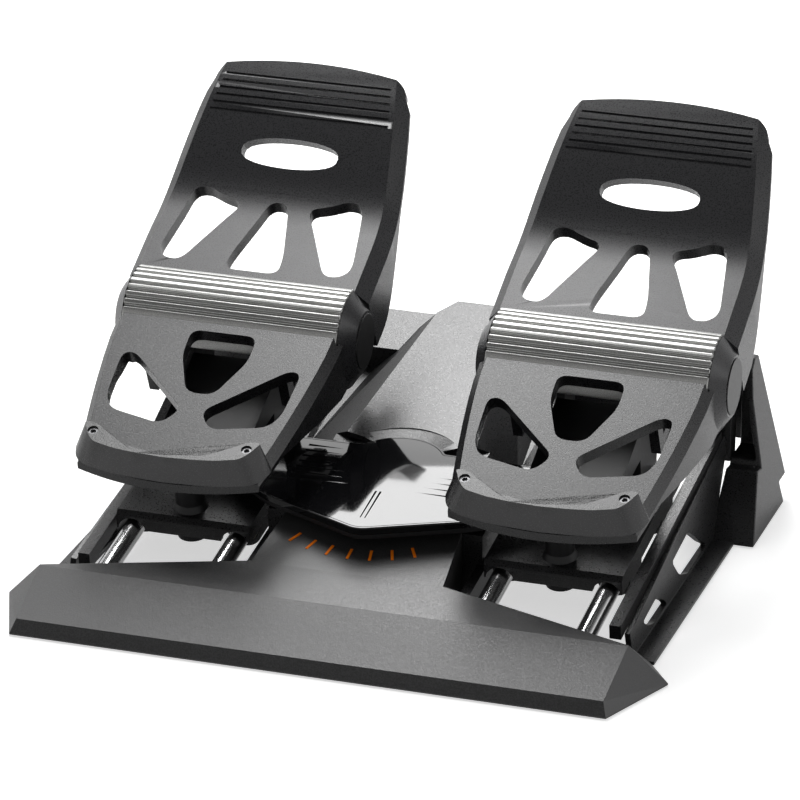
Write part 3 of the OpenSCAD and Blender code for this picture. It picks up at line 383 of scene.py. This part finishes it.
SENSOR = plain_plastic("sensor_blue", (0.03, 0.06, 0.11), 0.45)
BOARD = plain_plastic("board_green", (0.012, 0.09, 0.04), 0.35)
BUSH = plain_plastic("bush_cream", (0.62, 0.58, 0.47), 0.4)

OWN_FINISH = {
    "bottom_cover": UNDER, "rubber_feet": RUBBER, "base_screws": BLACKENED, "shaft_bearing": BRONZE,
    "centring_spring": SPRING, "turn_sensor": SENSOR, "circuit_board": BOARD, "cable_gland": RUBBER,
    "rocker_shaft": STEEL,
}
for side in ("left", "right"):
    OWN_FINISH.update({
        "bushings_" + side: BUSH, "pedal_post_" + side: UNDER, "post_nut_" + side: BLACKENED,
        "link_pin_" + side: STEEL, "rear_yoke_" + side: UNDER, "heel_screws_" + side: SCREW,
        "axle_" + side: STEEL, "brake_spring_" + side: SPRING, "brake_sensor_" + side: SENSOR,
    })
for node, material in OWN_FINISH.items():
    nodes[node].data.materials.clear()
    nodes[node].data.materials.append(material)


def make_base():
    """The fixed mouldings of the base, each with its edges rounded as moulded."""
    for node, width in (
            ("front_base", 1.2), ("chassis_tub", 0.8), ("rear_beam", 1.2), ("centre_housing", 1.6),
            ("side_frame_left", 0.8), ("side_frame_right", 0.8), ("rear_foot_left", 1.0),
            ("rear_foot_right", 1.0)):
        piece = solid_copy(node, node + "_moulding")
        round_edges(piece, width, 3, 22, 32)
        keep_flats(piece, lambda f: f.area > WIDE_AREA)
        dress(piece, "base", PAINTED_LIGHT_FRONT if node == "front_base" else BODY, "body_plastic", node)


def make_rails():
    """Four ground bars with their ends chamfered."""
    for side, places in (("left", ("outer", "inner")), ("right", ("inner", "outer"))):
        for place in places:
            node = "rail_" + side + "_" + place
            piece = solid_copy(node, node + "_bar")
            round_edges(piece, 0.8, 2, 50, 50)
            dress(piece, "base", STEEL, "rail_steel", node)


def cover_blank():
    """The cover's outline pulled up to its height, with a rounded rim and a fine groove inside it."""
    cover = solid_copy("rocker_cover", "rocker_gloss_cover")
    cover.data.transform(rocker_frame_place().inverted())
    level = (ROCKER_TOP - COVER_T) * MM
    choose_faces(cover, lambda f: f.normal.z > -0.9 or f.calc_center_median().z > level + 0.0005)
    bpy.ops.mesh.delete(type="FACE")
    bpy.ops.mesh.select_all(action="SELECT")
    bpy.ops.mesh.extrude_region_move(TRANSFORM_OT_translate={"value": (0, 0, COVER_T * MM)})
    bpy.ops.mesh.select_all(action="SELECT")
    bpy.ops.mesh.normals_make_consistent(inside=False)
    bpy.ops.object.mode_set(mode="OBJECT")
    round_edges(cover, 0.7, 4, 50, 50)
    top = ROCKER_TOP * MM - 0.00001
    for width, depth in ((0.9, 0.0), (0.25, -0.6), (0.25, 0.6)):
        widest = max(f.area for f in cover.data.polygons if f.normal.z > 0.99)
        choose_faces(cover, lambda f: f.normal.z > 0.99 and f.calc_area() > 0.98 * widest)
        bpy.ops.mesh.inset(thickness=width * MM, depth=depth * MM, use_even_offset=True)
        bpy.ops.object.mode_set(mode="OBJECT")
    for across in [(x, 1) for x in range(-116, 117, 8)] + [(y, 0) for y in range(-76, 30, 6)]:
        choose_faces(cover, lambda f: f.normal.z > 0.99 and f.calc_center_median().z > top)
        where = (across[0] * MM, 0, 0) if across[1] else (0, across[0] * MM, 0)
        square = (1, 0, 0) if across[1] else (0, 1, 0)
        bpy.ops.mesh.bisect(plane_co=where, plane_no=square)
    bpy.ops.object.mode_set(mode="OBJECT")
    return cover


def cover_fall(x, y):
    """How far the cover's crown falls away towards its ends and its round back, and its two slopes."""
    back = max(0.0, y + 8.0)
    return 0.00009 * x * x + 0.0009 * back * back, 0.00018 * x, 0.0018 * back


def groove_cutter(x, y, length, width, depth, turn, thin):
    """A long wedge: one edge down, its thin end at the place given."""
    bpy.ops.mesh.primitive_cube_add(size=1, location=(0, 0, 0))
    wedge = bpy.context.object
    wedge.data.transform(Matrix.Translation((0.5, 0, 0)))
    wedge.data.transform(Matrix.Diagonal((length * MM, width * MM, 2 * depth * MM, 1)))
    choose_faces(wedge, lambda f: f.normal.z < -0.9)
    bpy.ops.transform.resize(value=(1, 0.06, 1))
    choose_faces(wedge, lambda f: f.normal.x < -0.9)
    bpy.ops.transform.resize(value=(1, thin, thin), center_override=(0, 0, depth * MM))
    bpy.ops.object.mode_set(mode="OBJECT")
    wedge.data.transform(Matrix.Rotation(turn, 4, "Z"))
    wedge.data.transform(Matrix.Translation(Vector((x, y, ROCKER_TOP)) * MM))
    return wedge


def make_cover():
    """The gloss cover: crowned, seven tapering grooves on each side and a double pointer line."""
    cover = cover_blank()
    cutters = []
    for i, start in enumerate(GROOVE_STARTS):
        for side in (1, -1):
            turn = 0.0 if side > 0 else math.pi
            y = GROOVE_FIRST_Y + GROOVE_PITCH * i
            cutters.append(groove_cutter(side * start, y, GROOVE_END - start, 4.6, 1.3, turn, 0.45))
    for side in (1, -1):
        cutters.append(groove_cutter(side * 1.4, -65, 30, 2.4, 1.0, math.pi / 2, 0.8))
    deselect_all()
    for cutter in cutters:
        cutter.select_set(True)
    bpy.context.view_layer.objects.active = cutters[0]
    bpy.ops.object.join()
    for vertex in cutters[0].data.vertices:
        fall = cover_fall(vertex.co.x / MM, vertex.co.y / MM)[0]
        vertex.co.z -= fall * MM
    for vertex in cover.data.vertices:
        if vertex.co.z > (ROCKER_TOP - 0.5 * COVER_T) * MM:
            vertex.co.z -= cover_fall(vertex.co.x / MM, vertex.co.y / MM)[0] * MM
    pick(cover)
    cut = cover.modifiers.new("cut", "BOOLEAN")
    cut.operation = "DIFFERENCE"
    cut.solver = "EXACT"
    cut.object = cutters[0]
    bpy.ops.object.modifier_apply(modifier=cut.name)
    bpy.data.objects.remove(cutters[0], do_unlink=True)
    bpy.ops.object.shade_smooth_by_angle(angle=math.radians(30))
    mesh = cover.data
    kept = [corner.vector.copy() for corner in mesh.corner_normals]
    for face in mesh.polygons:
        for loop in face.loop_indices:
            spot = mesh.vertices[mesh.loops[loop].vertex_index].co / MM
            drop, along, back = cover_fall(spot.x, spot.y)
            crown = Vector((along, back, 1)).normalized()
            if face.normal.dot(crown) > 0.996 and abs(ROCKER_TOP - drop - spot.z) < 0.15:
                kept[loop] = crown
    mesh.normals_split_custom_set(kept)
    mesh.transform(rocker_frame_place())
    return cover


def toe_slope(t):
    """Slope of the toe plate in degrees, a share t of the way up it."""
    def blend(low, high):
        k = min(1.0, max(0.0, (t - low) / (high - low)))
        return k * k * (3 - 2 * k)
    return TOE_LOW_SLOPE + TOE_BEND * blend(0.25, 0.54) - TOE_FLARE * blend(0.72, 0.95)


def toe_profile():
    """Points up the middle of the tread from the axle, in millimetres, each with its slope."""
    turn = math.radians(BARREL_TURN)
    y, z = BARREL_R * math.cos(turn), BARREL_R * math.sin(turn)
    points = [(y, z, toe_slope(0))]
    for i in range(1, TOE_STEPS + 1):
        slope = math.radians(toe_slope((i - 0.5) / TOE_STEPS))
        y += TOE_LENGTH / TOE_STEPS * math.cos(slope)
        z += TOE_LENGTH / TOE_STEPS * math.sin(slope)
        points.append((y, z, toe_slope(i / TOE_STEPS)))
    return points


def toe_directions(x, t, slope):
    """The directions in which the tread and the flank beside it face, at one place up the toe."""
    up = Vector((0, -math.sin(slope), math.cos(slope)))
    along = Vector((0, math.cos(slope), math.sin(slope)))
    rise = max(0.0, t - 0.22) / 0.78
    pinch = -(PEDAL_W - TOE_TOP_W) / 2 * 1.6 * rise ** 0.6 / 0.78 / TOE_LENGTH
    side = math.copysign(1, x)
    flank = BEVEL_W * up + side * BEVEL_H * Vector((1, 0, 0)) - pinch * BEVEL_H * along
    return up, flank.normalized()


def up_the_toe(piece):
    """Each vertex of the toe plate with its place up the profile and its height over the tread."""
    low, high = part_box("axle_right")
    axle = (Vector(low) + Vector(high)) / 2
    profile = toe_profile()
    for vertex in piece.data.vertices:
        y, z = (vertex.co.y - axle.y) / MM, (vertex.co.z - axle.z) / MM
        near = min(range(len(profile)), key=lambda i: (profile[i][0] - y) ** 2 + (profile[i][1] - z) ** 2)
        slope = math.radians(profile[near][2])
        dy, dz = y - profile[near][0], z - profile[near][1]
        along = near * TOE_LENGTH / TOE_STEPS + dy * math.cos(slope) + dz * math.sin(slope)
        off = math.hypot(dy, dz)
        yield vertex, vertex.co.x / MM - axle.x / MM, along, slope, off


def reshape_openings(piece):
    """Flattens the lens opening, gives it blunt ends and pulls up the inner corners of the side openings."""
    shell, spread, lens_flat, lens_up = 12, 90.0, 0.76, 1.0
    corner_up, corner_out = 4.5, 4.0
    for vertex, x, along, slope, off in up_the_toe(piece):
        v = (along - LENS_AT) / (LENS_H / 2)
        moved = 0.0
        if off < shell and abs(x) < LENS_W / 2 + 0.5 and abs(v) < 1.06:
            moved = (math.copysign(abs(v) ** 0.75, v) * lens_flat - v) * LENS_H / 2 + lens_up
        elif off < shell:
            gap = (abs(x) - CORNER_X) ** 2 + (along - CORNER_AT) ** 2
            near = math.exp(-gap / spread)
            near = near if near > 0.05 else 0.0
            moved = corner_up * near
            vertex.co.x -= math.copysign(corner_out * near, x) * MM
        vertex.co.y += moved * math.cos(slope) * MM
        vertex.co.z += moved * math.sin(slope) * MM


def smooth_tread(piece):
    """The tread and flanks are even curves, so their shading follows them and not the facets."""
    mesh = piece.data
    kept = [corner.vector.copy() for corner in mesh.corner_normals]
    found = {}
    for vertex, x, along, slope, off in up_the_toe(piece):
        if off < BEVEL_H + 1.5:
            found[vertex.index] = toe_directions(x, along / TOE_LENGTH, slope)
    for face in mesh.polygons:
        wide = face.area > 6 * MM * MM
        for loop in face.loop_indices:
            for true in found.get(mesh.loops[loop].vertex_index, ()):
                if wide and face.normal.dot(true) > 0.997:
                    kept[loop] = true
    calm(mesh, kept)


def make_scale():
    """The printed angle marks, drawn in towards the rocker's nose."""
    marks = solid_copy("scale_marks", "scale_ink")
    lean = math.radians(PLATE_SLOPE)
    for vertex in marks.data.vertices:
        u = vertex.co.x / MM
        v = (vertex.co.y / MM + OVERALL_DEPTH / 2 - PIVOT_Y) / math.cos(lean)
        r = math.hypot(u, v)
        pull = (MARK_IN_R + MARK_SHORTER * (r - MARK_R)) / r
        vertex.co.x = (u * pull - MARK_SHIFT) * MM
        vertex.co.y += (v * pull - v) * math.cos(lean) * MM
        vertex.co.z += (v * pull - v) * math.sin(lean) * MM
    round_edges(marks, 0.12, 2, 50, 50)
    dress(marks, "base", ORANGE, "scale_orange", "scale_marks")


def make_rocker():
    """Gloss cover above, dark frame below."""
    dress(make_cover(), "rocker", GLOSS, "gloss_black", "rocker_cover")
    under = solid_copy("rocker_frame", "rocker_under_frame")
    round_edges(under, 0.5, 2, 40, 50)
    dress(under, "rocker", UNDER, "cover_plastic", "rocker_frame")


def make_pedals():
    """The moving pedals: each shell once, on the right, and once more on the left."""
    for node, body, material, slot, width in (
            ("carriage", "pedal", BODY, "body_plastic", 0.9),
            ("heel_tray", "pedal", PEDAL, "pedal_plastic", 0.9),
            ("heel_stop", "pedal", STOP, "pedal_plastic", 0.35),
            ("toe_plate", "toe", PEDAL, "pedal_plastic", 0.9),
            ("hinge_band", "toe", BAND, "band_metal", 0.8),
            ("axle_caps", "toe", CAP, "cap_plastic", 0.5)):
        right = solid_copy(node + "_right", node + "_moulding_right")
        if node == "toe_plate":
            reshape_openings(right)
        if node == "heel_stop":
            right.data.transform(Matrix.Translation(STOP_LIFT))
        round_edges(right, width, 4 if node == "hinge_band" else 3, 30)
        if node in ("heel_tray", "heel_stop"):
            keep_flats(right, lambda f: f.normal.dot(TRAY_UP) > 0.9995 and f.area > SMALL_AREA)
        if node == "toe_plate":
            smooth_tread(right)
        left = second(right, node + "_moulding_left")
        dress(right, body + "_right", material, slot, node + "_right")
        dress(left, body + "_left", material, slot, node + "_left")


def seen_directly(tree):
    """1 on camera, glossy and transmission rays, which should meet the white backdrop itself."""
    ray = tree.nodes.new("ShaderNodeLightPath")
    total = ray.outputs["Is Camera Ray"]
    for name in ("Is Glossy Ray", "Is Transmission Ray"):
        either = tree.nodes.new("ShaderNodeMath")
        either.operation = "MAXIMUM"
        tree.links.new(total, either.inputs[0])
        tree.links.new(ray.outputs[name], either.inputs[1])
        total = either.outputs["Value"]
    return total, ray


def make_floor():
    """A plain white floor that keeps the shadow."""
    deselect_all()
    bpy.ops.mesh.primitive_plane_add(size=14, location=(0, 0, 0))
    floor = bpy.context.object
    floor.name = "floor"
    material, tree, shader, place = start_material("white_floor")
    shader.inputs["Base Color"].default_value = (0.8, 0.8, 0.8, 1)
    shader.inputs["Roughness"].default_value = 0.9
    shader.inputs["Specular IOR Level"].default_value = 0.0
    direct, ray = seen_directly(tree)
    shader.inputs["Emission Color"].default_value = (1, 1, 1, 1)
    mirrored = scaled(tree, direct, 0.0, 0.2)
    reach = tree.nodes.new("ShaderNodeVectorMath")
    reach.operation = "LENGTH"
    tree.links.new(place, reach.inputs[0])
    whiter = scaled(tree, reach.outputs["Value"], 0.6, 1.0, 0.4, 1.2)
    lift = scaled(tree, ray.outputs["Is Camera Ray"], mirrored, whiter)
    tree.links.new(lift, shader.inputs["Emission Strength"])
    floor.data.materials.append(material)


def make_world():
    """A white sweep behind the object and a dim ceiling over it."""
    world = bpy.data.worlds.new("studio")
    bpy.context.scene.world = world
    world.use_nodes = True
    tree = world.node_tree
    background = tree.nodes["Background"]
    background.inputs["Color"].default_value = (1, 1, 1, 1)
    way = tree.nodes.new("ShaderNodeTexCoord")
    parts = tree.nodes.new("ShaderNodeSeparateXYZ")
    tree.links.new(way.outputs["Generated"], parts.inputs["Vector"])
    sweep = scaled(tree, parts.outputs["Z"], 1.0, 0.06, 0.18, 0.5)
    direct, ray = seen_directly(tree)
    fill = scaled(tree, direct, 0.22, sweep)
    tree.links.new(scaled(tree, ray.outputs["Is Camera Ray"], fill, 1.0), background.inputs["Strength"])


def softbox(name, azimuth, elevation, distance, width, height, radiance, aim=(0, 0, 0.08), roll=0.0):
    """A soft lamp: azimuth 0 stands on the user's side and 90 to the right."""
    data = bpy.data.lights.new(name, "AREA")
    data.shape = "RECTANGLE"
    data.size = width
    data.size_y = height
    data.energy = radiance * math.pi * width * height
    lamp = bpy.data.objects.new(name, data)
    a, e = math.radians(azimuth), math.radians(elevation)
    back = Vector((math.sin(a) * math.cos(e), -math.cos(a) * math.cos(e), math.sin(e)))
    lamp.location = Vector(aim) + back * distance
    lamp.rotation_mode = "QUATERNION"
    lamp.rotation_quaternion = (-back).to_track_quat("-Z", "Y") @ Quaternion((0, 0, 1), math.radians(roll))
    bpy.context.scene.collection.objects.link(lamp)
    return lamp


def make_light():
    """Softboxes behind for the flat tops, the centre plate and the treads, and a strip at each side."""
    softbox("rear_softbox", 198, 46.5, 1.3, 0.5, 0.36, 13.0, (0, -0.01, 0.064), 25)
    softbox("lower_softbox", 200, 31.5, 1.32, 0.62, 0.3, 3.6, (0, -0.01, 0.064), 25)
    softbox("plate_softbox", 203, 57, 1.35, 0.3, 0.26, 9.0, (0, -0.1, 0.03))
    softbox("upper_softbox", 224, 66, 1.4, 0.6, 0.6, 6.5, (0, 0, 0.14))
    softbox("right_strip", 100, 28, 1.5, 0.4, 1.0, 2.0)
    softbox("left_strip", 236, 40, 1.5, 0.06, 0.5, 3.0)


def make_camera():
    """The photograph's own view, solved from its straight edges."""
    data = bpy.data.cameras.new("camera")
    camera = bpy.data.objects.new("camera", data)
    bpy.context.scene.collection.objects.link(camera)
    bpy.context.scene.camera = camera
    aim = Vector((0, -0.02684, 0.0910))
    a, e = math.radians(18.2), math.radians(22.85)
    back = Vector((math.sin(a) * math.cos(e), -math.cos(a) * math.cos(e), math.sin(e)))
    camera.location = aim + back * 3.1847
    camera.rotation_mode = "QUATERNION"
    camera.rotation_quaternion = (-back).to_track_quat("-Z", "Y")
    data.sensor_width = 36
    data.lens = 244.8
    data.shift_x = 0.0155
    data.shift_y = 0.0364
    data.clip_start = 0.1
    data.clip_end = 50


make_base()
make_rails()
make_rocker()
make_scale()
make_pedals()
make_floor()
make_world()
make_light()
make_camera()
bpy.context.scene.view_settings.view_transform = "Standard"

deselect_all()
